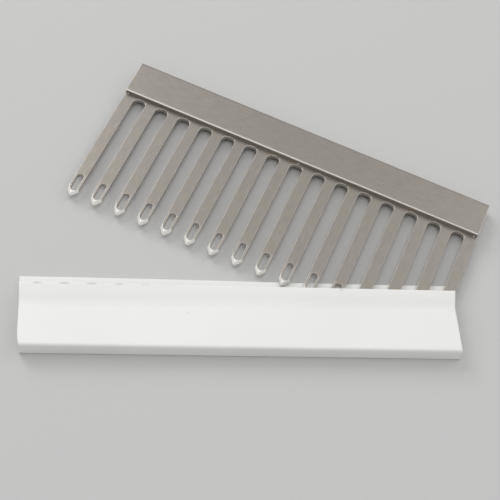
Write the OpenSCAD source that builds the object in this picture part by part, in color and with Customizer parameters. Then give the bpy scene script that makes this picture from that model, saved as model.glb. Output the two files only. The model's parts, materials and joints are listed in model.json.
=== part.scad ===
// Transfer comb for a knitting machine, with its push-on tooth guard.
// The comb lies flat with its teeth towards -Y. The origin is the middle of the
// spine's underside, X runs along the spine and Z points up. Sizes are in mm.

/* [Teeth] */
// Number of teeth along the comb
tooth_count = 16; // [4:1:30]
// Distance from the middle of one tooth to the middle of the next
tooth_pitch = 4.5; // [4:0.1:9]
// Width of one tooth
tooth_w = 2.11; // [1.9:0.01:2.8]
// Reach of a tooth from the root of its slot to the end of its tip
tooth_len = 24.25; // [18:0.05:36]
// Thickness of the toothed sheet
blade_t = 0.8; // [0.6:0.05:1.2]

/* [Eyelets] */
// Width of the eyelet behind each tip
eyelet_w = 1.15; // [0.8:0.05:1.3]
// Length of the eyelet from end to end
eyelet_len = 3.65; // [2:0.05:6]
// Metal between the eyelet and the end of the tip
eyelet_to_tip = 0.95; // [0.7:0.05:2]

/* [Tips] */
// Angle between a side of the pointed tip and the line of the tooth
point_angle = 34; // [28:1:45]
// Width of the blunt end of the tip
point_w = 0.35; // [0.2:0.05:0.6]
// Width of the slope ground along each side of the point
grind_w = 0.38; // [0.2:0.02:0.5]
// Height of the sheet's edge left under that slope
grind_edge_t = 0.4; // [0.2:0.05:0.5]

/* [Spine] */
// Depth of the folded spine, front edge to back
spine_depth = 7.2; // [5:0.1:12]
// Thickness of the sheet that the spine is folded from
spine_sheet = 1.0; // [0.9:0.05:1.5]
// Outer radius of the two bends along the spine's back
spine_bend_r = 0.6; // [0.3:0.05:0.9]
// Blade that shows between the spine's front edge and the slots' roots
spine_land = 0.3; // [0.1:0.05:2]
// Room between the blade's back edge and the inside of the fold
fold_room = 0.15; // [0:0.05:0.5]

/* [Tack welds] */
// Number of weld beads along the spine's front edge
weld_count = 3; // [2:1:7]
// Radius of one bead
weld_r = 0.28; // [0.15:0.01:0.4]
// Distance from an end of the spine to the middle of the last bead
weld_inset = 0.6; // [0.5:0.05:4]

/* [Guard section] */
// Depth of the guard, from the edge of its lower lip to the face of its back
guard_depth = 14.15; // [11:0.05:20]
// Thickness of the guard's two legs
guard_wall = 0.7; // [0.5:0.05:0.9]
// Thickness of the guard's back, which joins the legs
guard_back_t = 1.1; // [0.7:0.05:1.6]
// Distance that the upper lip stops short of the lower one
lip_setback = 2.5; // [1:0.1:4]
// Depth of the flared strip of the upper lip
lip_depth = 3.3; // [1.5:0.1:5]
// Height that the upper lip flares above the crease
lip_flare = 0.7; // [0.2:0.05:1.5]
// Height that the upper leg climbs from the crease to the back
leg_rise = 0.6; // [0.2:0.05:2]
// Radius of the edges of both lips
lip_edge_r = 0.3; // [0.1:0.05:0.34]
// Radius of the long edges of the back
back_edge_r = 0.45; // [0.2:0.05:0.9]
// Radius of the crease along the upper leg
crease_r = 1.6; // [0.8:0.1:3]

/* [Guard length and place] */
// Length of guard that runs past the comb at each end when it is square on
guard_overhang = 2.3; // [0:0.1:6]
// Turn of the guard away from the spine's line, in degrees
guard_turn = 25.1; // [0:0.1:28]
// Distance along the guard from its end to the tip that is deepest in it
tip_from_end = 5.5; // [3:0.1:12]

/* [Clearances] */
// Room above and below the teeth in the guard's mouth
mouth_clear = 0.2; // [0.1:0.05:0.4]
// Room between the deepest tip and the inside of the guard's back
tip_clear = 0.45; // [0.2:0.05:1]

/* [Hidden] */
$fn = 64;

// Steps in each rounded corner of the guard's section
corner_steps = 8;
// How far a cutting shape passes through what it cuts
cut = 1;

comb_w = (tooth_count - 1) * tooth_pitch + tooth_w;
slot_w = tooth_pitch - tooth_w;

spine_front = -spine_depth / 2;
spine_back = spine_depth / 2;
slot_root = spine_front - spine_land;
tip_end = slot_root - tooth_len;
blade_back = spine_back - spine_sheet - fold_room;

blade_under = spine_sheet;
blade_top = blade_under + blade_t;
spine_top = blade_top + spine_sheet;

eyelet_out = tip_end + eyelet_to_tip;
shoulder = tip_end + (tooth_w - point_w) / 2 / tan(point_angle);
grind_angle = atan((blade_t - grind_edge_t) / grind_w);

first_tooth = -(tooth_count - 1) / 2 * tooth_pitch;
last_tooth = -first_tooth;

// Levels of the guard's mouth, which the blade passes through
mouth_low = blade_under - mouth_clear;
mouth_high = blade_top + mouth_clear;
crease_top = mouth_high + guard_wall;
guard_top = crease_top + leg_rise;
lip_top = crease_top + lip_flare;

// Places across the guard, measured from the lower lip's edge
lip_edge = -lip_setback;
crease = lip_edge - lip_depth;
back_face = -guard_depth;
back_inside = back_face + guard_back_t;
leg_slope = leg_rise / (crease - back_face);
leg_inside_top = guard_top - guard_back_t * leg_slope - guard_wall;
room_r = 0.3;

guard_len = comb_w + 2 * guard_overhang;
tip_s = guard_len - tip_from_end;
tip_d = back_inside + tip_clear;

function unit(v) = v / norm(v);

// Points of the arc of radius r that rounds the corner at p between a and b
function round_corner(a, p, b, r) =
    let (
        u = unit(a - p),
        w = unit(b - p),
        half = acos(u * w) / 2,
        middle = p + unit(u + w) * r / sin(half),
        from = p + u * r / tan(half) - middle,
        to = p + w * r / tan(half) - middle,
        start = atan2(from[1], from[0]),
        sweep = sign(from[0] * to[1] - from[1] * to[0]) * (180 - 2 * half)
    )
    [for (i = [0 : corner_steps])
        middle + r * [cos(start + sweep * i / corner_steps), sin(start + sweep * i / corner_steps)]];

// Outline through corners, each given as [point, radius]
function round_outline(corners) =
    let (n = len(corners))
    [for (i = [0 : n - 1])
        each round_corner(
            corners[(i + n - 1) % n][0], corners[i][0], corners[(i + 1) % n][0], corners[i][1]
        )];

// Stretches a flat shape, drawn in Y and Z, along X
module along_x(length) {
    rotate([90, 0, 90]) linear_extrude(length) children();
}

// One tooth seen from above, from inside the spine to its pointed tip
module tooth_outline() {
    polygon([
        [-tooth_w / 2, slot_root],
        [-tooth_w / 2, shoulder],
        [-point_w / 2, tip_end],
        [point_w / 2, tip_end],
        [tooth_w / 2, shoulder],
        [tooth_w / 2, slot_root]
    ]);
}

// A slot with round ends, from y = low to y = high
module round_slot(width, low, high) {
    translate([-width / 2, low + width / 2]) square([width, high - low - width]);
    translate([0, low + width / 2]) circle(d = width);
    translate([0, high - width / 2]) circle(d = width);
}

// Half round that opens the root of the slot between two teeth
module slot_end() {
    translate([0, slot_root - slot_w / 2]) circle(d = slot_w);
}

module blade_outline() {
    difference() {
        union() {
            translate([-comb_w / 2, slot_root - slot_w / 2])
                square([comb_w, blade_back - slot_root + slot_w / 2]);
            for (i = [0 : tooth_count - 1])
                translate([first_tooth + i * tooth_pitch, 0]) tooth_outline();
        }
        for (i = [0 : tooth_count - 2])
            translate([first_tooth + (i + 0.5) * tooth_pitch, 0]) slot_end();
        for (i = [0 : tooth_count - 1])
            translate([first_tooth + i * tooth_pitch, 0])
                round_slot(eyelet_w, eyelet_out, eyelet_out + eyelet_len);
    }
}

// What is ground off the top along the right side of a point: all that lies above a
// plane that falls outwards from a line drawn grind_w inside that side
module point_grind() {
    translate([tooth_w / 2, shoulder, blade_top])
        rotate([0, 0, -point_angle])
            translate([-grind_w, 0, 0])
                rotate([0, grind_angle, 0])
                    translate([0, -tooth_w, 0]) cube([tooth_w, 2 * tooth_w, tooth_w]);
}

// Stamped sheet with sixteen eyed teeth, each point ground along both of its sides
module toothed_blade() {
    color([0.62, 0.6, 0.57])
        difference() {
            translate([0, 0, blade_under]) linear_extrude(blade_t) blade_outline();
            for (i = [0 : tooth_count - 1])
                translate([first_tooth + i * tooth_pitch, 0, 0]) {
                    point_grind();
                    mirror([1, 0, 0]) point_grind();
                }
        }
}

module spine_outline() {
    difference() {
        union() {
            translate([spine_front, 0]) square([spine_depth - spine_bend_r, spine_top]);
            translate([spine_back - spine_bend_r, spine_bend_r])
                square([spine_bend_r, spine_top - 2 * spine_bend_r]);
            for (z = [spine_bend_r, spine_top - spine_bend_r])
                translate([spine_back - spine_bend_r, z]) circle(r = spine_bend_r);
        }
        translate([spine_front - cut, blade_under])
            square([blade_back + fold_room - spine_front + cut, blade_t]);
    }
}

// Sheet folded over the back of the blade, its two legs of equal depth
module spine_channel() {
    color([0.6, 0.58, 0.55])
        translate([-comb_w / 2, 0, 0]) along_x(comb_w) spine_outline();
}

// Quarter of a ball in the corner between the spine's front edge and the blade
module weld_bead() {
    intersection() {
        sphere(r = weld_r);
        translate([-weld_r - cut, -weld_r - cut, 0])
            cube([2 * (weld_r + cut), weld_r + cut, weld_r + cut]);
    }
}

// Beads that tie the spine to the blade
module tack_welds() {
    weld_reach = comb_w / 2 - weld_inset;
    color([0.5, 0.48, 0.46])
        for (i = [0 : weld_count - 1])
            translate([-weld_reach + 2 * weld_reach * i / (weld_count - 1), spine_front, blade_top])
                weld_bead();
}

// Section of the guard: a flat lower leg, the back, and an upper leg with a flared lip
module guard_outline() {
    polygon(round_outline([
        [[back_face, 0], back_edge_r],
        [[0, 0], lip_edge_r],
        [[0, mouth_low], lip_edge_r],
        [[back_inside, mouth_low], room_r],
        [[back_inside, leg_inside_top], room_r],
        [[crease, mouth_high], crease_r],
        [[lip_edge, mouth_high + lip_flare], lip_edge_r],
        [[lip_edge, lip_top], lip_edge_r],
        [[crease, crease_top], crease_r],
        [[back_face, guard_top], back_edge_r]
    ]));
}

// Extruded guard, swung off the teeth so that only the last of them are covered
module tooth_guard() {
    color([0.94, 0.94, 0.93])
        translate([last_tooth, tip_end, 0])
            rotate([0, 0, guard_turn])
                translate([-tip_s, -tip_d, 0]) along_x(guard_len) guard_outline();
}

toothed_blade();
spine_channel();
tack_welds();
tooth_guard();
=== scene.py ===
"""Transfer comb with its push-on tooth guard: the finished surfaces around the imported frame.

Lengths are in metres and in the frame's axes: X runs along the spine, the teeth point
towards -Y and Z is up. Each surface is a grid of points worked out as whole arrays.
"""

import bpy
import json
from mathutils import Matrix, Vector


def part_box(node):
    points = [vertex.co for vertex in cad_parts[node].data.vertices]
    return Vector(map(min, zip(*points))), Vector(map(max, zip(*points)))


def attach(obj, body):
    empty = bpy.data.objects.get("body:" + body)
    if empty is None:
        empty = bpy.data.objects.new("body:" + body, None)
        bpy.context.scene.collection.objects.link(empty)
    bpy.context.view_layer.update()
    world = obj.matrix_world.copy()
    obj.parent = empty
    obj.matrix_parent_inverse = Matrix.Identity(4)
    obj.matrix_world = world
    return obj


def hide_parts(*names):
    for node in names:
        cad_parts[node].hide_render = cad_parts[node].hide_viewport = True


bl_info = {
    "name": "Transfer Comb Maker",
    "version": (1, 0, 0),
    "blender": (4, 5, 0),
    "location": "3D View > Sidebar > Comb",
    "description": "Makes an eyed steel transfer comb and its white tooth guard",
    "category": "Add Mesh",
}

import json
import math

import bmesh
import bpy
import numpy as np
from mathutils import Matrix, Vector

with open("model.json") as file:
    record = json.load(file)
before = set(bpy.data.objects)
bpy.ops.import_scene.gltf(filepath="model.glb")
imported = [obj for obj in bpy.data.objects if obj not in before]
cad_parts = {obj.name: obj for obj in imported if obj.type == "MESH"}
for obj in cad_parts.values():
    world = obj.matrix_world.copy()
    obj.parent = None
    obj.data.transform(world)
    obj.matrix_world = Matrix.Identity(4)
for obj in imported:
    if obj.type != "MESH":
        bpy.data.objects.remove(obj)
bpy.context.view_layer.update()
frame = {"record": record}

MM = 0.001
# Points nearer than this fall together when patches are joined
JOIN = 2e-7
# Faces that meet at more than this keep a crisp edge between them
CRISP = math.radians(32)
# Steps of the quarter-round along an edge
ROUND_STEPS = 4
SEED = 16

BLADE_LOW, BLADE_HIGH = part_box("toothed_blade")
SPINE_LOW, SPINE_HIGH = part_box("spine_channel")
GUARD_LOW, GUARD_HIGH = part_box("tooth_guard")
WELD_LOW, WELD_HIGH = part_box("tack_welds")
GUARD_MOUNT = next(m["pos_m"] for m in frame["record"]["mounts"] if m["name"] == "guard_underside")


def size(name, text, millimetres):
    """A length that a user may change, given in mm and kept in metres."""
    return bpy.props.FloatProperty(
        name=name, description=text, default=millimetres * MM, min=0, precision=5,
        unit="LENGTH", subtype="DISTANCE",
    )


def turn(name, text, degrees):
    """An angle that a user may change, given in degrees."""
    return bpy.props.FloatProperty(
        name=name, description=text, default=math.radians(degrees), unit="ROTATION", subtype="ANGLE"
    )


def share(name, text, default, high=1.0):
    """A plain number from nought upwards."""
    return bpy.props.FloatProperty(name=name, description=text, default=default, min=0, max=high)


def paint(name, text, default):
    """A linear colour."""
    return bpy.props.FloatVectorProperty(
        name=name, description=text, default=default, size=3, min=0, max=1, subtype="COLOR"
    )


class CombBladeSizes(bpy.types.PropertyGroup):
    """Sizes of the stamped blade and its eyed teeth."""

    teeth: bpy.props.IntProperty(name="Teeth", description="Number of teeth", default=16, min=2)
    tooth_width: size("Tooth width", "Width of one tooth", 2.11)
    root_land: size("Root land", "Blade between the spine and the slots' roots", 0.3)
    eyelet_width: size("Eyelet width", "Width of the eyelet behind a tip", 1.15)
    eyelet_length: size("Eyelet length", "Length of the eyelet from end to end", 3.65)
    tip_metal: size("Tip metal", "Metal between the eyelet and the end of the tip", 0.95)
    tip_width: size("Tip width", "Width of the blunt end of a tip", 0.42)
    point_angle: turn("Point angle", "Angle of a side of the point to the line of the tooth", 37)
    grind_width: size("Grind width", "Width of the slope ground along a side of the point", 0.38)
    grind_edge: size("Grind edge", "Height of the sheet's edge left under that slope", 0.4)
    edge_radius: size("Edge radius", "Round of the stamped upper edges", 0.085)
    under_radius: size("Under radius", "Round of the stamped lower edges", 0.04)


class CombSpineSizes(bpy.types.PropertyGroup):
    """Sizes of the folded spine."""

    sheet: size("Sheet", "Thickness of the folded sheet", 1.0)
    bend_radius: size("Bend radius", "Outer radius of the bends along the back", 0.6)
    inner_radius: size("Inner radius", "Radius inside the fold", 0.1)
    front_radius: size("Front radius", "Round of the sheared edge along the front", 0.09)
    end_radius: size("End radius", "Round of the sheared ends", 0.06)
    roll_drop: size("Roll drop", "How far the shears rolled the front edge over", 0.075)
    roll_width: size("Roll width", "Width of that rolled strip", 0.34)


class CombWeldSizes(bpy.types.PropertyGroup):
    """Sizes of the weld beads along the spine's front edge."""

    beads: bpy.props.IntProperty(name="Beads", description="Number of beads", default=3, min=2)
    ripple: share("Ripple", "Height of a bead's ripples as a share of its radius", 0.1)


class CombGuardSizes(bpy.types.PropertyGroup):
    """Sizes of the push-on guard."""

    turned: turn("Turn", "Turn of the guard away from the spine's line", 25.1)
    wall: size("Wall", "Thickness of the two legs", 0.7)
    lower_leg: size("Lower leg", "Thickness of the leg that lies on the table", 0.8)
    back: size("Back", "Thickness of the back that joins the legs", 1.1)
    lip_setback: size("Lip setback", "Distance that the upper lip stops short of the lower", 2.5)
    lip_reach: size("Lip reach", "How much further the upper lip comes where it is closed", 0.33)
    crease_in: size("Crease", "Distance of the crease from the lower lip's edge", 5.8)
    crease_closed: size("Crease closed", "Top of the crease where no teeth hold it open", 2.3)
    crease_open: size("Crease open", "Top of the crease over the teeth", 2.72)
    lip_closed: size("Lip closed", "Top of the upper lip where no teeth hold it open", 3.02)
    lip_open: size("Lip open", "Top of the upper lip over the teeth", 3.5)
    end_radius: size("End radius", "Round of the cut ends", 0.07)
    dent: size("Dent", "Depth of the dents that the teeth left along the upper lip", 0.05)


class CombFinishes(bpy.types.PropertyGroup):
    """Colours of the finished surfaces."""

    steel: paint("Steel", "Bare sheet steel", (0.35, 0.32, 0.285))
    steel_dark: paint("Dull steel", "Duller patches of the sheet", (0.315, 0.288, 0.256))
    # Lighter steel for the rolling lines and weld spots; on the rounded edges of blade and spine it is
    # also a painted highlight over the rubbed tone.
    steel_edge: paint("Steel edge", "Rubbed and sheared edges", (0.56, 0.53, 0.485))
    # Near-white: the ground points' own colour together with a painted highlight, also used for the
    # painted highlight line along the spine's front edge.
    ground: paint("Ground steel", "Freshly ground points", (0.86, 0.85, 0.81))
    weld: paint("Weld", "Weld beads", (0.3, 0.275, 0.245))
    plastic: paint("Plastic", "White guard", (0.87, 0.87, 0.85))
    # Grey for the dashes along the upper lip's edge, the faint clouds and the specks.
    mark_grey: paint("Scuff", "Grey marks rubbed on by the teeth", (0.5, 0.5, 0.49))


class CombStage(bpy.types.PropertyGroup):
    """Camera, floor and lights."""

    azimuth: turn("Azimuth", "Turn of the camera round the comb", 12.40)
    elevation: turn("Elevation", "Height of the camera above the table", 58.92)
    roll: turn("Roll", "Turn of the camera about its own line of sight", 12.32)
    distance: size("Distance", "Distance of the camera from its target", 216.65)
    target_x: bpy.props.FloatProperty(
        name="Target X", description="Point of the table that the camera looks at, along the spine",
        default=-1.07 * MM, unit="LENGTH", subtype="DISTANCE", precision=5,
    )
    target_y: bpy.props.FloatProperty(
        name="Target Y", description="The same point across the spine",
        default=-23.31 * MM, unit="LENGTH", subtype="DISTANCE", precision=5,
    )
    lens: bpy.props.FloatProperty(
        name="Lens", description="Focal length on a 36 mm sensor, in mm", default=88.83, min=1
    )
    floor: paint("Floor", "Plain pale floor", (0.58, 0.58, 0.575))
    ambient: share("Ambient", "Strength of the light from all round", 0.56, 4)
    backdrop: share("Backdrop", "Strength of the pale background seen past the floor", 0.66, 4)
    window: share("Window", "Power of the large soft light behind and to the left, in W", 1.2, 100)
    side: share("Side", "Power of the small soft light behind and to the right, in W", 0.34, 100)
    overhead: share("Overhead", "Power of the soft light overhead, in W", 0.6, 100)


class Field:
    """A number that changes over a surface: arithmetic on it adds Math nodes."""

    def __init__(self, tree, socket):
        self.tree = tree
        self.socket = socket

    def math(self, operation, first, second):
        return self.tree.node("ShaderNodeMath", {"operation": operation}, {0: first, 1: second})

    def __add__(self, other):
        return self.math("ADD", self, other)

    def __radd__(self, other):
        return self.math("ADD", other, self)

    def __sub__(self, other):
        return self.math("SUBTRACT", self, other)

    def __rsub__(self, other):
        return self.math("SUBTRACT", other, self)

    def __mul__(self, other):
        return self.math("MULTIPLY", self, other)

    def __rmul__(self, other):
        return self.math("MULTIPLY", other, self)

    def __truediv__(self, other):
        return self.math("DIVIDE", self, other)

    def __abs__(self):
        return self.tree.node("ShaderNodeMath", {"operation": "ABSOLUTE"}, {0: self})

    def largest(self, other):
        return self.math("MAXIMUM", self, other)

    def wrap(self, step):
        """What is left of the number past the last whole step."""
        return self.math("FLOORED_MODULO", self, step)

    def fade(self, low, high):
        """Smoothly 0 below low and 1 above high, or the other way round if low is the larger."""
        return self.tree.node(
            "ShaderNodeMapRange", {"interpolation_type": "SMOOTHSTEP"},
            {"Value": self, "From Min": low, "From Max": high},
        )


class Tree:
    """A node tree, and the one way that nodes get into it."""

    def __init__(self, owner):
        owner.use_nodes = True
        self.owner = owner
        self.nodes = owner.node_tree.nodes
        self.links = owner.node_tree.links
        self.nodes.clear()

    def node(self, kind, settings=None, inputs=None, out=0):
        """Adds a node, its settings first and then the values or links of its sockets."""
        made = self.nodes.new(kind)
        for key, value in (settings or {}).items():
            setattr(made, key, value)
        for key, value in (inputs or {}).items():
            if isinstance(value, Field):
                self.links.new(value.socket, made.inputs[key])
            else:
                made.inputs[key].default_value = value
        return Field(self, made.outputs[out] if made.outputs else None)

    def place(self, location=(0, 0, 0), rotation=(0, 0, 0), scale=(1, 1, 1)):
        """Object coordinates, shifted to a piece, turned in line with it and stretched."""
        here = self.node("ShaderNodeTexCoord", out="Object")
        shifted = self.node(
            "ShaderNodeMapping", {"vector_type": "TEXTURE"},
            {"Vector": here, "Location": location, "Rotation": rotation},
        )
        return self.node("ShaderNodeVectorMath", {"operation": "MULTIPLY"}, {0: shifted, 1: scale})

    def noise(self, where, scale, detail=2.0, roughness=0.5):
        return self.node(
            "ShaderNodeTexNoise", inputs={
                "Vector": where, "Scale": scale, "Detail": detail, "Roughness": roughness,
            },
        )

    def blend(self, amount, first, second):
        """One colour into another, by an amount that changes over the surface."""
        return self.node("ShaderNodeMix", {"data_type": "RGBA"}, {0: amount, 6: first, 7: second}, 2)

    def split(self, vector):
        """The three parts of a vector."""
        parts = self.node("ShaderNodeSeparateXYZ", inputs={0: vector})
        outputs = parts.socket.node.outputs
        return tuple(Field(self, outputs[axis]) for axis in range(3))

    def attribute(self, name):
        """A number kept on the mesh's points."""
        return self.node("ShaderNodeAttribute", {"attribute_name": name}, out="Fac")

    def bump(self, height, depth, below=None):
        """Tilts the surface as if it rose by depth where height goes from 0 to 1."""
        inputs = {"Height": height, "Distance": depth, "Strength": 1.0}
        if below is not None:
            inputs["Normal"] = below
        return self.node("ShaderNodeBump", inputs=inputs)

    def surface(self, **sockets):
        """Ends the tree in a Principled surface; an underscore stands for a space in a name."""
        named = {key.replace("_", " "): value for key, value in sockets.items()}
        shader = self.node("ShaderNodeBsdfPrincipled", inputs=named)
        self.node("ShaderNodeOutputMaterial", inputs={"Surface": shader})
        return self.owner


def colour(rgb):
    """A colour of three numbers as a colour socket takes it."""
    return (*rgb, 1.0)


def new_tree(name):
    return Tree(bpy.data.materials.new(name))


def steel_finish(name, finishes, rolled):
    """Bare sheet: cloudy dull patches, fine rolling lines along rolled, lighter rubbed edges that also
    carry a painted highlight, and near-white ground places that are partly a painted highlight.
    """
    tree = new_tree(name)
    where = tree.place()
    clouds = tree.noise(where, 170.0, 3.0, 0.55).fade(0.4, 0.66)
    lines = tree.noise(tree.place(scale=rolled), 1.0, 3.0, 0.6)
    grit = tree.noise(where, 5200.0, 2.0, 0.6)
    # Share of lighter edge colour: rubbed tone and a painted highlight along the edges.
    rubbed_and_highlight = tree.attribute("rubbed_and_highlight")
    ground = tree.attribute("ground")
    shade = tree.blend(clouds * 0.75, colour(finishes.steel), colour(finishes.steel_dark))
    shade = tree.blend(lines.fade(0.35, 0.75) * 0.22, shade, colour(finishes.steel_edge))
    # Painted highlight along the edges, over the rubbed edge tone.
    shade = tree.blend(rubbed_and_highlight * 0.85, shade, colour(finishes.steel_edge))
    # Near-white on the ground points and the spine's front line: partly the ground finish, partly a
    # painted highlight.
    shade = tree.blend(ground, shade, colour(finishes.ground))
    rough = 0.31 + clouds * 0.06 + lines * 0.08 - rubbed_and_highlight * 0.06 + ground * 0.16
    swell = tree.bump(tree.noise(where, 60.0, 1.0), 0.00002)
    drawn = tree.bump(lines, 0.0000012, swell)
    # Ground places are made less metallic, which lets their painted highlight show white.
    return tree.surface(
        Base_Color=shade, Metallic=1 - ground * 0.45, Roughness=rough,
        Normal=tree.bump(grit, 0.0000014, drawn),
    )


def weld_finish(finishes):
    """Dull, faintly mottled bead metal."""
    tree = new_tree("bead_steel")
    spots = tree.noise(tree.place(), 2600.0, 3.0, 0.6)
    shade = tree.blend(spots.fade(0.35, 0.7) * 0.8, colour(finishes.weld), colour(finishes.steel_edge))
    return tree.surface(
        Base_Color=shade, Metallic=1.0, Roughness=0.34 + spots * 0.2, Normal=tree.bump(spots, 0.000008)
    )


def plastic_finish(finishes, guard):
    """White plastic: faint extrusion lines along the guard, grey dashes on its lip, a few specks."""
    tree = new_tree("white_plastic")
    centre = guard.centre
    along = tree.place(location=(centre[0], centre[1], 0), rotation=(0, 0, guard.turned))
    down, across, high = tree.split(along)
    dash_mask = lip_dashes(tree, down, across, high, guard)
    lines = tree.noise(tree.place(
        location=(centre[0], centre[1], 0), rotation=(0, 0, guard.turned), scale=(25, 2600, 2600)
    ), 1.0, 2.0)
    clouds = tree.noise(along, 90.0, 2.0)
    speck = tree.noise(along, 620.0, 1.0, 0.3).fade(0.795, 0.83)
    shade = tree.blend(clouds.fade(0.3, 0.75) * 0.05, colour(finishes.plastic), colour(finishes.mark_grey))
    shade = tree.blend((dash_mask * 0.8).largest(speck * 0.5), shade, colour(finishes.mark_grey))
    rough = 0.36 + clouds * 0.08 + dash_mask * 0.15
    drawn = tree.bump(lines, 0.0000022)
    return tree.surface(
        Base_Color=shade, Roughness=rough, IOR=1.46, Normal=tree.bump(clouds, 0.00003, drawn)
    )


def lip_dashes(tree, down, across, high, guard):
    """Grey dashes along the upper lip's edge, one per tooth spacing, fading along the guard."""
    step = guard.tooth_step
    place = (down + (guard.length / 2 - guard.first_dash)).wrap(step)
    dash = abs(place - step / 2).fade(step / 2 - 1.1 * MM, step / 2 - 0.35 * MM)
    strip = abs(across - guard.lip_edge).fade(0.6 * MM, 0.2 * MM)
    fading = down.fade(-0.1 * guard.length, -0.36 * guard.length)
    smudge = tree.noise(tree.place(scale=(900, 900, 900)), 1.0, 2.0).fade(0.3, 0.6)
    return dash * strip * fading * (0.4 + smudge * 0.6) * high.fade(0.0017, 0.0024)


def floor_finish(stage):
    """Plain matt floor, with a trace of grain."""
    tree = new_tree("pale_floor")
    grain = tree.noise(tree.place(), 900.0, 3.0)
    base = colour(stage.floor)
    shade = tree.blend(grain.fade(0.3, 0.7) * 0.03, base, (0.5, 0.5, 0.5, 1.0))
    return tree.surface(Base_Color=shade, Roughness=0.8)


def grid_faces(rows, columns):
    """Four-cornered faces of a grid whose points are counted row by row."""
    first = np.arange(rows - 1)[:, None] * columns + np.arange(columns - 1)
    return np.stack([first, first + 1, first + columns + 1, first + columns], -1).reshape(-1, 4)


def joined(patches):
    """Grids of points (rows, columns, n) as one list of points and faces, not yet merged."""
    points = np.concatenate([p.reshape(-1, p.shape[-1]) for p in patches])
    starts = np.cumsum([0] + [p.shape[0] * p.shape[1] for p in patches[:-1]])
    faces = [grid_faces(*p.shape[:2]) + start for p, start in zip(patches, starts)]
    return points, np.concatenate(faces)


def merged(points, faces):
    """Joins points that share a place, measured on a lattice of step JOIN.

    Gives the number of one point at each place, and the faces renumbered to that list.
    """
    keys = np.round(points / JOIN + 0.137).astype(np.int64)
    _, first, inverse = np.unique(keys, axis=0, return_index=True, return_inverse=True)
    return first, inverse.reshape(-1)[faces]


def free_edges(faces, count):
    """Directed edges of faces that no neighbour runs the other way."""
    edges = np.stack([faces, np.roll(faces, -1, 1)], -1).reshape(-1, 2)
    edges = edges[edges[:, 0] != edges[:, 1]]
    here = edges[:, 0] * count + edges[:, 1]
    back = edges[:, 1] * count + edges[:, 0]
    return edges[~np.isin(here, back)]


def edge_rows(radius):
    """Distances from an edge where its quarter-round has turned by equal steps: r(1 - cos t)."""
    return radius * (1 - np.cos(np.linspace(0, math.pi / 2, ROUND_STEPS + 1)))


def near_rows(radius):
    """The same distances and one more on the flat, which keeps the shading of the flat plain."""
    return np.append(edge_rows(radius), 1.4 * radius)


def edge_drop(distance, radius):
    """How far a quarter-round lies under the flat: r - sqrt(r^2 - (r - distance)^2)."""
    short = np.clip(radius - distance, 0, radius)
    return radius - np.sqrt(np.maximum(radius**2 - short**2, 0))


def soft_positive(value, blend):
    """The larger of value and 0, with the corner at 0 rounded: (v + sqrt(v^2 + b^2)) / 2."""
    return (value + np.sqrt(value**2 + blend**2)) / 2


def check_solid(name, mesh):
    """Stops the script if a mesh isn't closed or its faces point inwards."""
    solid = bmesh.new()
    solid.from_mesh(mesh)
    closed = all(edge.is_contiguous for edge in solid.edges)
    volume = solid.calc_volume(signed=True)
    solid.free()
    if not closed or volume <= 0:
        raise RuntimeError(f"{name} isn't a closed solid that faces outwards: {volume} m3")


def make_piece(name, points, faces, material, numbers=None, caps=()):
    """Puts points and faces into a new object at the origin, with smooth faces and crisp edges."""
    kept = [list(dict.fromkeys(face)) for face in faces.tolist()]
    kept = [face for face in kept if len(face) > 2] + [list(cap) for cap in caps]
    mesh = bpy.data.meshes.new(name)
    mesh.from_pydata(points.tolist(), [], kept)
    if mesh.validate():
        raise RuntimeError(f"{name} has faces that had to be mended")
    check_solid(name, mesh)
    for key, values in (numbers or {}).items():
        layer = mesh.attributes.new(key, "FLOAT", "POINT")
        layer.data.foreach_set("value", values.astype(np.float32))
    mesh.shade_smooth()
    for polygon in mesh.polygons[len(kept) - len(caps):]:
        polygon.use_smooth = False
    mesh.set_sharp_from_angle(angle=CRISP)
    mesh.materials.append(material)
    piece = bpy.data.objects.new(name, mesh)
    bpy.context.scene.collection.objects.link(piece)
    return piece


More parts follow.
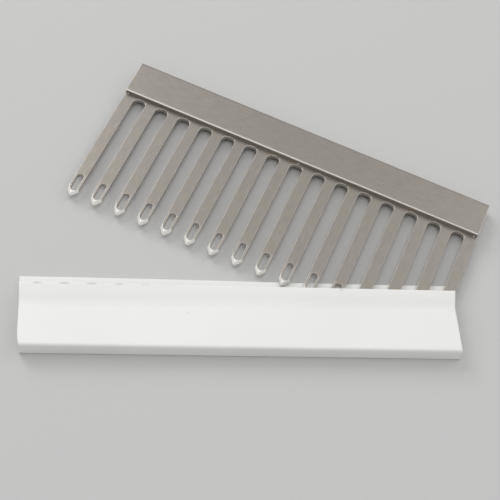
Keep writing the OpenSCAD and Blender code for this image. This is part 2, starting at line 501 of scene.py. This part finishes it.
class Teeth:
    """Plan of the blade's teeth, worked out from the sizes and the frame."""

    def __init__(self, sizes, spine_front):
        self.count = sizes.teeth
        self.width = sizes.tooth_width
        self.pitch = (BLADE_HIGH.x - BLADE_LOW.x - self.width) / (self.count - 1)
        self.slot_radius = (self.pitch - self.width) / 2
        self.root = spine_front - sizes.root_land
        self.arc_y = self.root - self.slot_radius
        self.tip_y = BLADE_LOW.y
        self.back_y = BLADE_HIGH.y
        self.tip_width = sizes.tip_width
        self.angle = sizes.point_angle
        self.shoulder = self.tip_y + (self.width - self.tip_width) / 2 / math.tan(self.angle)
        self.eyelet_radius = sizes.eyelet_width / 2
        self.eyelet_low = self.tip_y + sizes.tip_metal + self.eyelet_radius
        self.eyelet_high = self.eyelet_low + sizes.eyelet_length - sizes.eyelet_width
        self.eyelet_line = self.eyelet_high + self.eyelet_radius + 0.5 * MM
        self.edge_radius = sizes.edge_radius

    def across(self):
        """Places across a tooth, closer together over its rounded edges."""
        half = self.width / 2
        near = near_rows(self.edge_radius)
        inner = np.linspace(-half + near[-1], half - near[-1], 7)[1:-1]
        return np.concatenate([-half + near, inner, half - near[::-1]])

    def point_distance(self, x, y):
        """Distance inside the two sides of the point: (w/2 - |x|) cos a + (y - shoulder) sin a."""
        beside = (self.width / 2 - np.abs(x)) * math.cos(self.angle)
        return beside + (y - self.shoulder) * math.sin(self.angle)

    def rim_distance(self, x, y, slots):
        """Distance to the nearest stamped edge: slots beside the tooth, its point and its eyelet."""
        has_slot = np.where(x < 0, slots[0], slots[1])
        above = np.maximum(y - self.arc_y, 0) * has_slot
        side = np.hypot(self.pitch / 2 - np.abs(x), above) - self.slot_radius
        level = y - np.clip(y, self.eyelet_low, self.eyelet_high)
        eyelet = np.hypot(x, level) - self.eyelet_radius
        return np.minimum.reduce([side, eyelet, self.point_distance(x, y), y - self.tip_y])

    def root_patch(self, slots):
        """Grid from the arcs of the neighbouring slots up to the blade's back edge."""
        turned = np.linspace(0, math.pi / 2, 13)
        arc_x = -self.pitch / 2 + self.slot_radius * np.sin(turned)
        arc_low = self.arc_y + self.slot_radius * np.cos(turned)
        middle = self.across()
        x, low = middle, np.full_like(middle, self.arc_y)
        if slots[0]:
            x, low = np.concatenate([arc_x[:-1], x]), np.concatenate([arc_low[:-1], low])
        if slots[1]:
            x, low = np.concatenate([x, -arc_x[-2::-1]]), np.concatenate([low, arc_low[-2::-1]])
        near = low + near_rows(self.edge_radius)[:, None]
        levels = np.linspace(self.root + 0.2 * MM, self.back_y, 6)
        y = np.concatenate([near, np.broadcast_to(levels[:, None], (6, len(x)))])
        return np.stack([np.broadcast_to(x, y.shape), y], -1)

    def shank_patch(self):
        """Plain grid of the tooth between the slots' arcs and the eyelet."""
        x, y = np.meshgrid(self.across(), np.linspace(self.eyelet_line, self.arc_y, 13))
        return np.stack([x, y], -1)

    def ring_halves(self):
        """Matching points round the eyelet and round the tooth's end, from the top clockwise."""
        half, radius = self.width / 2, self.eyelet_radius
        columns = self.across()
        top = columns[columns > JOIN]
        top = np.concatenate([[0.0], top])
        turned = [
            np.linspace(90, 48, len(top)),
            np.linspace(48, 0, 7)[1:],
            np.zeros(9),
            np.linspace(0, -27, 4)[1:],
            np.linspace(-27, -76, 11)[1:],
            np.linspace(-76, -90, 4)[1:],
        ]
        side_up = np.linspace(self.eyelet_line, self.eyelet_high, 7)[1:]
        straight = np.linspace(self.eyelet_high, self.eyelet_low, 10)[1:]
        low_side = np.linspace(self.eyelet_low, self.shoulder, 4)[1:]
        slope = np.linspace([half, self.shoulder], [self.tip_width / 2, self.tip_y], 11)[1:]
        blunt = np.linspace([self.tip_width / 2, self.tip_y], [0, self.tip_y], 4)[1:]
        outer = np.concatenate([
            np.column_stack([top, np.full(len(top), self.eyelet_line)]),
            np.column_stack([np.full(18, half), np.concatenate([side_up, straight, low_side])]),
            slope,
            blunt,
        ])
        angles = np.radians(np.concatenate(turned))
        centres = np.concatenate([
            np.full(len(top) + 6, self.eyelet_high), straight, np.full(16, self.eyelet_low)
        ])
        inner = np.column_stack([radius * np.cos(angles), centres + radius * np.sin(angles)])
        return inner, outer

    def ring_patch(self):
        """Grid of spokes from the eyelet's edge to the tooth's outline, closed into a ring."""
        inner, outer = (
            np.concatenate([half, (half * (-1, 1))[-2::-1]]) for half in self.ring_halves()
        )
        reach = np.hypot(*(outer - inner).T)
        near = near_rows(self.edge_radius)
        steps = np.linspace(0, 1, 9)[1:-1, None]
        rows = np.concatenate([
            np.broadcast_to(near[:, None], (len(near), len(reach))),
            near[-1] + (reach - 2 * near[-1]) * steps,
            reach - near[::-1, None],
        ])
        return inner + (outer - inner) * (rows / reach)[..., None]


def plate(plan, faces, top, under):
    """Closed plate: the faces on top, the same turned over below, a wall on every free edge."""
    count = len(plan)
    free = free_edges(faces, count)
    walls = np.stack([free[:, 1], free[:, 0], free[:, 0] + count, free[:, 1] + count], -1)
    points = np.concatenate([np.column_stack([plan, top]), np.column_stack([plan, under])])
    return points, np.concatenate([faces, faces[:, ::-1] + count, walls])


def blade_surface(sizes):
    """Points, faces, and the rubbed-edge and ground shares of the whole blade, both partly a painted
    highlight.
    """
    teeth = Teeth(sizes, SPINE_LOW.y)
    fall = math.tan(math.atan2(BLADE_HIGH.z - BLADE_LOW.z - sizes.grind_edge, sizes.grind_width))
    chance = np.random.default_rng(SEED)
    plans, heights, starts = [], [], 0
    faces = []
    for index in range(teeth.count):
        slots = (index > 0, index < teeth.count - 1)
        patches = [teeth.root_patch(slots), teeth.shank_patch(), teeth.ring_patch()]
        plan, cells = joined(patches)
        x, y = plan.T
        rim = np.maximum(teeth.rim_distance(x, y, slots), 0)
        wide = sizes.grind_width * (1 + 0.05 * chance.standard_normal())
        inside = wide - teeth.point_distance(x, y)
        cut = fall * soft_positive(inside, 0.02 * MM)
        # Ground share: the ground slopes of the point and, at 0.75, all the metal past the eyelet;
        # painted near-white, partly as a painted highlight.
        slope = np.clip(inside / (0.06 * MM) + 0.5, 0, 1)
        slope = slope * smooth_step(teeth.shoulder + 0.5 * MM - y, 0, 0.3 * MM)
        beyond = 0.75 * smooth_step(teeth.tip_y + sizes.tip_metal - y, -0.25 * MM, 0.1 * MM)
        plans.append(plan + (BLADE_LOW.x + teeth.width / 2 + index * teeth.pitch, 0))
        heights.append(np.column_stack([rim, cut, np.maximum(slope, beyond)]))
        faces.append(cells + starts)
        starts += len(plan)
    plan = np.concatenate(plans)
    first, cells = merged(plan, np.concatenate(faces))
    plan = plan[first]
    rim, cut, ground = np.concatenate(heights)[first].T
    top = BLADE_HIGH.z - cut - edge_drop(rim, sizes.edge_radius)
    under = BLADE_LOW.z + edge_drop(rim, sizes.under_radius)
    points, cells = plate(plan, cells, top, under)
    # The teeth are painted lighter towards their points, from the eyelets down.
    toward_points = 0.4 * smooth_step(teeth.eyelet_line - plan[:, 1], 0, 1 * MM)
    # Rounded edges painted lighter, partly rubbed tone and partly a painted highlight, joined with the
    # lightening towards the points.
    rubbed_and_highlight = np.maximum(np.clip(1 - rim / sizes.edge_radius, 0, 1), toward_points)
    return points, cells, np.tile(rubbed_and_highlight, 2), np.concatenate([ground, np.zeros(len(ground))])


def round_corners(corners, radii, steps):
    """Closed outlines (stations, points, 2) whose corners are arcs tangent to both sides.

    At a corner p between a and b the arc's middle lies at p + r (u + w) / |u + w| / sin(h),
    where u and w point from p to a and b and h is half the angle between them.
    """
    before = np.roll(corners, 1, 1) - corners
    after = np.roll(corners, -1, 1) - corners
    u = before / np.linalg.norm(before, axis=-1, keepdims=True)
    w = after / np.linalg.norm(after, axis=-1, keepdims=True)
    half = np.arccos(np.clip((u * w).sum(-1), -1, 1)) / 2
    bisector = (u + w) / np.linalg.norm(u + w, axis=-1, keepdims=True)
    radius = np.broadcast_to(radii, half.shape)
    middle = corners + bisector * (radius / np.sin(half))[..., None]
    start = corners + u * (radius / np.tan(half))[..., None] - middle
    side = np.sign(u[..., 0] * w[..., 1] - u[..., 1] * w[..., 0])
    sweep = -side * (math.pi - 2 * half)
    turned = sweep[..., None] * np.linspace(0, 1, steps + 1)
    cos, sin = np.cos(turned), np.sin(turned)
    x = cos * start[..., 0, None] - sin * start[..., 1, None]
    y = sin * start[..., 0, None] + cos * start[..., 1, None]
    arcs = middle[..., None, :] + np.stack([x, y], -1)
    return arcs.reshape(len(corners), -1, 2)


def refined(outlines, longest):
    """Adds points on the sides of closed outlines so that the first one has none over longest."""
    lengths = np.linalg.norm(np.roll(outlines[0], -1, 0) - outlines[0], axis=-1)
    parts = np.maximum(np.ceil(lengths / longest), 1).astype(int)
    index = np.repeat(np.arange(len(parts)), parts)
    share_along = (np.arange(len(index)) - np.repeat(np.cumsum(parts) - parts, parts)) / parts[index]
    following = (index + 1) % len(parts)
    return outlines[:, index] + (outlines[:, following] - outlines[:, index]) * share_along[:, None]


def inward(outlines):
    """Unit vectors pointing into closed outlines that run anticlockwise."""
    ahead = np.roll(outlines, -1, 1) - outlines
    behind = outlines - np.roll(outlines, 1, 1)
    along = ahead / np.linalg.norm(ahead, axis=-1, keepdims=True)
    along = along + behind / np.linalg.norm(behind, axis=-1, keepdims=True)
    along = along / np.linalg.norm(along, axis=-1, keepdims=True)
    return np.stack([-along[..., 1], along[..., 0]], -1)


def end_stations(length, radius, middle):
    """Places along a length and how far its outline draws in there, for rounded ends."""
    near = np.append(edge_rows(radius), 2.5 * radius)
    drop = edge_drop(near, radius)
    between = np.linspace(near[-1], length - near[-1], middle)[1:-1]
    places = np.concatenate([near, between, length - near[::-1]])
    draw = np.concatenate([drop, np.zeros(len(between)), drop[::-1]])
    return places, draw


def swept_faces(stations, around):
    """Faces of an anticlockwise outline carried along stations, and its two end caps."""
    index = np.arange(stations * around).reshape(stations, around)
    index = np.concatenate([index, index[:, :1]], 1)
    faces = np.stack([index[:-1, :-1], index[:-1, 1:], index[1:, 1:], index[1:, :-1]], -1)
    first, last = index[0, :-1], index[-1, :-1]
    return faces.reshape(-1, 4), (first[::-1].tolist(), last.tolist())


def spine_outline(sizes):
    """Section of the folded sheet in Y and Z, anticlockwise, from the lower front edge."""
    front, back = SPINE_LOW.y, SPINE_HIGH.y
    low, high = SPINE_LOW.z, SPINE_HIGH.z
    inside = back - sizes.sheet
    slot_low, slot_high = low + sizes.sheet, high - sizes.sheet
    edge = sizes.front_radius
    corners = np.array([[
        (front, low), (back, low), (back, high), (front, high),
        (front, slot_high), (inside, slot_high), (inside, slot_low), (front, slot_low),
    ]])
    inner = sizes.inner_radius
    slot = sizes.end_radius + 0.02 * MM
    radii = np.array([edge, sizes.bend_radius, sizes.bend_radius, edge, slot, inner, inner, slot])
    return refined(round_corners(corners, radii, 6), 0.09 * MM)


def spine_surface(sizes):
    """The folded section carried along X, its upper front edge rolled over by the shears.

    The roll falls by h (1 - t)^2, where t goes from 0 at the edge to 1 at the roll's width.
    """
    outline = spine_outline(sizes)
    rest = np.clip(1 - (outline[..., 0] - SPINE_LOW.y) / sizes.roll_width, 0, 1)
    upper = outline[..., 1] > SPINE_HIGH.z - 2 * sizes.front_radius
    fall = np.where(upper, sizes.roll_drop * rest**2, 0)
    outline = outline - np.stack([np.zeros_like(fall), fall], -1)
    places, draw = end_stations(SPINE_HIGH.x - SPINE_LOW.x, sizes.end_radius, 48)
    ring = outline + inward(outline) * draw[:, None, None]
    x = np.broadcast_to((SPINE_LOW.x + places)[:, None], ring.shape[:2])
    points = np.concatenate([x[..., None], ring], -1)
    faces, caps = swept_faces(*ring.shape[:2])
    near_front = np.abs(ring[..., 0] - SPINE_LOW.y)
    # Painted highlight along the upper front edge, and lighter sheared ends; both go into the rubbed
    # share.
    front = np.clip(1 - near_front / (0.16 * MM), 0, 1) * (ring[..., 1] > SPINE_HIGH.z - 0.2 * MM)
    from_end = np.minimum(places, places[-1] - places)[:, None] * np.ones(ring.shape[1])
    ends = np.clip(1 - from_end / (0.12 * MM), 0, 1)
    # Near-white painted highlight line along the front edge, weaker along X; it takes the ground
    # colour though nothing is ground there.
    line = np.clip(1.2 - near_front / (0.2 * MM), 0, 1) * (ring[..., 1] > SPINE_HIGH.z - 0.17 * MM)
    line = line * (1 - 0.55 * places / places[-1])[:, None]
    return points.reshape(-1, 3), faces, caps, np.maximum(front, ends).ravel(), line.ravel()


def bead_surface(middle, radius, ripple, phase):
    """A quarter of a rippled ball in the corner between spine and blade, closed by two flats.

    A point lies at x = r cos v along the corner and r sin v away from it, turned by u from the
    blade up to the spine. The first and last rows lie in the corner itself.
    """
    u = np.linspace(0, math.pi / 2, 11)
    v = np.linspace(math.pi, 0, 21)
    wave = 1 + ripple * np.sin(5 * v + phase) * np.sin(v)
    away = radius * np.sin(v) * wave
    x = np.broadcast_to(radius * np.cos(v), (len(u), len(v)))
    y = -away * np.cos(u)[:, None]
    z = away * np.sin(u)[:, None]
    skin = np.stack([x, y, z], -1)
    corner = np.stack([x[0], 0 * away, 0 * away], -1)[None]
    return np.concatenate([corner, skin, corner]) + middle


class Guard:
    """Size and place of the guard, worked out from the frame's box and its turn."""

    def __init__(self, sizes, tooth_step):
        self.turned = sizes.turned
        wide, deep = GUARD_HIGH.x - GUARD_LOW.x, GUARD_HIGH.y - GUARD_LOW.y
        cos, sin = math.cos(self.turned), math.sin(self.turned)
        self.length = (wide * cos - deep * sin) / (cos**2 - sin**2)
        self.depth = (deep * cos - wide * sin) / (cos**2 - sin**2)
        self.centre = (GUARD_MOUNT[0], GUARD_MOUNT[1])
        self.top = GUARD_HIGH.z - 0.03 * MM
        self.lip_edge = self.depth / 2 - sizes.lip_setback + sizes.lip_reach
        self.tooth_step = tooth_step
        self.first_dash = 2.9 * MM

    def world(self, along, across, high):
        """Points given along, across and above the guard, in the frame's axes."""
        cos, sin = math.cos(self.turned), math.sin(self.turned)
        a, b = along - self.length / 2, across + self.depth / 2
        x = self.centre[0] + a * cos - b * sin
        y = self.centre[1] + a * sin + b * cos
        return np.stack([x, y, high], -1)


def smooth_step(value, low, high):
    """0 below low, 1 above high and 3t^2 - 2t^3 between."""
    t = np.clip((value - low) / (high - low), 0, 1)
    return t * t * (3 - 2 * t)


def guard_outline(sizes, guard, places):
    """Section of the guard at each place: (stations, points, 2) across and above it.

    The mouth stands further open where the teeth are in it.
    """
    opened = smooth_step(places, 0.25 * guard.length, 0.72 * guard.length)
    crease = sizes.crease_closed + (sizes.crease_open - sizes.crease_closed) * opened
    lip = sizes.lip_closed + (sizes.lip_open - sizes.lip_closed) * opened
    recess = 0.2 * MM * opened
    lip_y = -sizes.lip_setback + sizes.lip_reach * (1 - opened)
    crease_y = -sizes.crease_in
    back = -guard.depth
    inside = back + sizes.back
    top = np.full_like(places, guard.top)
    nought = np.zeros_like(places)
    knee = 0.62
    knee_y = lip_y + (crease_y - lip_y) * (1 - knee)
    knee_z = crease + (lip - crease) * knee + 0.1 * MM
    parts = [
        (back, nought, 0.3), (-recess, nought, 0.25), (-recess, nought + sizes.lower_leg, 0.3),
        (inside, nought + sizes.lower_leg, 0.3), (inside, top - sizes.wall - 0.08 * MM, 0.3),
        (crease_y, crease - sizes.wall, 3.8), (knee_y, knee_z - sizes.wall, 6.0),
        (lip_y, lip - sizes.wall, 0.25), (lip_y, lip, 0.34), (knee_y, knee_z, 7.0),
        (crease_y, crease, 4.3), (back, top, 0.5),
    ]
    corners = np.stack([np.stack(np.broadcast_arrays(y, z), -1) for y, z, _ in parts], 1)
    radii = np.array([radius for _, _, radius in parts]) * MM
    return refined(round_corners(corners, radii, 8), 0.45 * MM)


def end_trim(across, high, guard):
    """How far the shears left each end out of square, at places across and above the guard."""
    share_in = -across / guard.depth
    left = np.interp(share_in, [0, 0.2, 0.4, 0.85, 1.0], [-0.3, -0.1, 0.0, 0.12, 0.4]) * MM
    right = np.interp(share_in, [0, 0.18, 0.4, 0.7, 1.0], [0.1, 0.0, -0.24, -0.12, -0.07]) * MM
    under = np.clip(share_in * 10 - 9, 0, 1) * (1 - high / guard.top) * 0.35 * MM
    return left, right + under


def guard_surface(sizes, guard):
    """The section carried along the guard, its cut ends rounded and a little out of square."""
    places, draw = end_stations(guard.length, sizes.end_radius, 150)
    outline = guard_outline(sizes, guard, places)
    ring = outline + inward(outline) * draw[:, None, None]
    across, high = ring[..., 0], ring[..., 1]
    left, right = end_trim(across, high, guard)
    share_along = (places / guard.length)[:, None]
    along = places[:, None] + left * (1 - share_along) ** 4 + right * share_along**4
    step = guard.tooth_step
    mark = np.abs((along - guard.first_dash + step / 2) % step - step / 2)
    from_lip = across + guard.depth / 2 - guard.lip_edge
    on_lip = np.exp(-((from_lip / (0.35 * MM)) ** 2)) * (high > 2.3 * MM)
    fading = smooth_step(-along, -0.5 * guard.length, 0)
    high = high - sizes.dent * np.exp(-((mark / (0.45 * MM)) ** 2)) * on_lip * fading
    faces, caps = swept_faces(*across.shape)
    return guard.world(along, across, high).reshape(-1, 3), faces, caps


class CombOperator(bpy.types.Operator):
    """What the makers of the comb's pieces share."""

    bl_options = {"REGISTER", "UNDO"}


class COMB_OT_stage(CombOperator):
    """Set the camera, the pale floor and the soft lights"""

    bl_idname = "comb.stage"
    bl_label = "Stage"

    def execute(self, context):
        stage = context.scene.comb_stage
        set_camera(context.scene, stage)
        set_floor(context.scene, stage)
        set_lights(context.scene, stage)
        context.scene.view_settings.view_transform = "Standard"
        return {"FINISHED"}


class COMB_OT_blade(CombOperator):
    """Make the stamped blade with its eyed, ground teeth"""

    bl_idname = "comb.blade"
    bl_label = "Toothed blade"

    def execute(self, context):
        scene = context.scene
        points, faces, rubbed_and_highlight, ground = blade_surface(scene.comb_blade)
        steel = steel_finish("blade_steel", scene.comb_finishes, (5200, 420, 1))
        piece = make_piece("eyed_blade", points, faces, steel, {"rubbed_and_highlight": rubbed_and_highlight, "ground": ground})
        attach(piece, "comb")
        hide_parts("toothed_blade")
        return {"FINISHED"}


class COMB_OT_spine(CombOperator):
    """Make the folded spine"""

    bl_idname = "comb.spine"
    bl_label = "Folded spine"

    def execute(self, context):
        scene = context.scene
        points, faces, caps, rubbed_and_highlight, line = spine_surface(scene.comb_spine)
        steel = steel_finish("spine_steel", scene.comb_finishes, (420, 5200, 1))
        # The front edge's painted highlight line goes into the ground share.
        marks = {"rubbed_and_highlight": rubbed_and_highlight, "ground": line}
        piece = make_piece("folded_spine", points, faces, steel, marks, caps)
        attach(piece, "comb")
        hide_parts("spine_channel")
        return {"FINISHED"}


class COMB_OT_welds(CombOperator):
    """Make the weld beads along the spine's front edge"""

    bl_idname = "comb.welds"
    bl_label = "Weld beads"

    def execute(self, context):
        scene = context.scene
        sizes = scene.comb_welds
        radius = WELD_HIGH.z - WELD_LOW.z
        reach = (WELD_HIGH.x - WELD_LOW.x) / 2 - radius
        centre = (WELD_HIGH.x + WELD_LOW.x) / 2
        beads = [
            bead_surface((centre + place, WELD_HIGH.y, WELD_LOW.z), radius, sizes.ripple, place / MM)
            for place in np.linspace(-reach, reach, sizes.beads)
        ]
        points, faces = joined(beads)
        first, faces = merged(points, faces)
        points = points[first]
        piece = make_piece("weld_beads", points, faces, weld_finish(scene.comb_finishes))
        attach(piece, "comb")
        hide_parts("tack_welds")
        return {"FINISHED"}


class COMB_OT_guard(CombOperator):
    """Make the push-on tooth guard"""

    bl_idname = "comb.guard"
    bl_label = "Tooth guard"

    def execute(self, context):
        scene = context.scene
        sizes = scene.comb_guard
        guard = Guard(sizes, Teeth(scene.comb_blade, SPINE_LOW.y).pitch)
        points, faces, caps = guard_surface(sizes, guard)
        piece = make_piece(
            "push_on_guard", points, faces, plastic_finish(scene.comb_finishes, guard), caps=caps
        )
        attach(piece, "guard")
        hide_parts("tooth_guard")
        return {"FINISHED"}


def set_camera(scene, stage):
    """Places the camera from its azimuth, elevation, roll and distance."""
    a, e, r = stage.azimuth, stage.elevation, stage.roll
    back = Vector((math.sin(a) * math.cos(e), -math.cos(a) * math.cos(e), math.sin(e)))
    level = Vector((math.cos(a), math.sin(a), 0))
    upright = back.cross(level)
    right = level * math.cos(r) + upright * math.sin(r)
    up = upright * math.cos(r) - level * math.sin(r)
    lens = bpy.data.cameras.new("camera")
    lens.lens = stage.lens
    lens.clip_start = 0.01
    camera = bpy.data.objects.new("camera", lens)
    turned = Matrix((right, up, back)).transposed().to_4x4()
    spot = Vector((stage.target_x, stage.target_y, 0)) + back * stage.distance
    camera.matrix_world = Matrix.Translation(spot) @ turned
    scene.collection.objects.link(camera)
    scene.camera = camera


def set_floor(scene, stage):
    """A plain square floor under the comb."""
    side = 1.5
    rows = np.linspace(-side / 2, side / 2, 5)
    x, y = np.meshgrid(rows, rows)
    mesh = bpy.data.meshes.new("floor")
    points = np.stack([x, y, np.full_like(x, -0.01 * MM)], -1).reshape(-1, 3)
    mesh.from_pydata(points.tolist(), [], grid_faces(5, 5).tolist())
    mesh.materials.append(floor_finish(stage))
    floor = bpy.data.objects.new("floor", mesh)
    scene.collection.objects.link(floor)


def add_softbox(scene, name, power, side, direction, distance):
    """A square area light at a distance in a direction from the comb, facing it."""
    lamp = bpy.data.lights.new(name, "AREA")
    lamp.energy = power
    lamp.size = side
    box = bpy.data.objects.new(name, lamp)
    toward = Vector(direction).normalized()
    turned = toward.to_track_quat("Z", "Y").to_matrix().to_4x4()
    box.matrix_world = Matrix.Translation(toward * distance) @ turned
    scene.collection.objects.link(box)


def set_lights(scene, stage):
    """Pale surroundings, soft lights behind on the left and on the right, and one overhead."""
    add_softbox(scene, "window", stage.window, 0.36, (-0.9, 0.42, 0.8), 0.6)
    add_softbox(scene, "side", stage.side, 0.3, (0.5, 0.62, 0.75), 0.6)
    add_softbox(scene, "overhead", stage.overhead, 0.35, (0.0, -0.1, 1.0), 0.6)
    world = bpy.data.worlds.new("surroundings")
    scene.world = world
    tree = Tree(world)
    seen = tree.node("ShaderNodeLightPath", out="Is Camera Ray")
    path = seen.socket.node.outputs
    for ray in ("Is Glossy Ray", "Is Transmission Ray"):
        seen = seen.largest(Field(tree, path[ray]))
    strength = seen * (stage.backdrop - stage.ambient) + stage.ambient
    shine = tree.node("ShaderNodeBackground", inputs={"Color": (1, 1, 1, 1), "Strength": strength})
    tree.node("ShaderNodeOutputWorld", inputs={"Surface": shine})


class COMB_PT_maker(bpy.types.Panel):
    """Buttons that make the comb's pieces, with their sizes"""

    bl_idname = "COMB_PT_maker"
    bl_label = "Transfer comb"
    bl_space_type = "VIEW_3D"
    bl_region_type = "UI"
    bl_category = "Comb"

    def draw(self, context):
        for maker in MAKERS:
            self.layout.operator(maker.bl_idname)
        for name in GROUPS:
            settings = getattr(context.scene, name)
            box = self.layout.box()
            for key in settings.__annotations__:
                box.prop(settings, key)


MAKERS = (COMB_OT_stage, COMB_OT_blade, COMB_OT_spine, COMB_OT_welds, COMB_OT_guard)
GROUPS = {
    "comb_blade": CombBladeSizes,
    "comb_spine": CombSpineSizes,
    "comb_welds": CombWeldSizes,
    "comb_guard": CombGuardSizes,
    "comb_finishes": CombFinishes,
    "comb_stage": CombStage,
}


def register():
    for name, group in GROUPS.items():
        bpy.utils.register_class(group)
        setattr(bpy.types.Scene, name, bpy.props.PointerProperty(type=group))
    for maker in MAKERS:
        bpy.utils.register_class(maker)
    bpy.utils.register_class(COMB_PT_maker)


def unregister():
    bpy.utils.unregister_class(COMB_PT_maker)
    for maker in reversed(MAKERS):
        bpy.utils.unregister_class(maker)
    for name, group in reversed(GROUPS.items()):
        delattr(bpy.types.Scene, name)
        bpy.utils.unregister_class(group)


def main():
    register()
    bpy.ops.comb.stage()
    bpy.ops.comb.blade()
    bpy.ops.comb.spine()
    bpy.ops.comb.welds()
    bpy.ops.comb.guard()


if __name__ == "__main__":
    main()
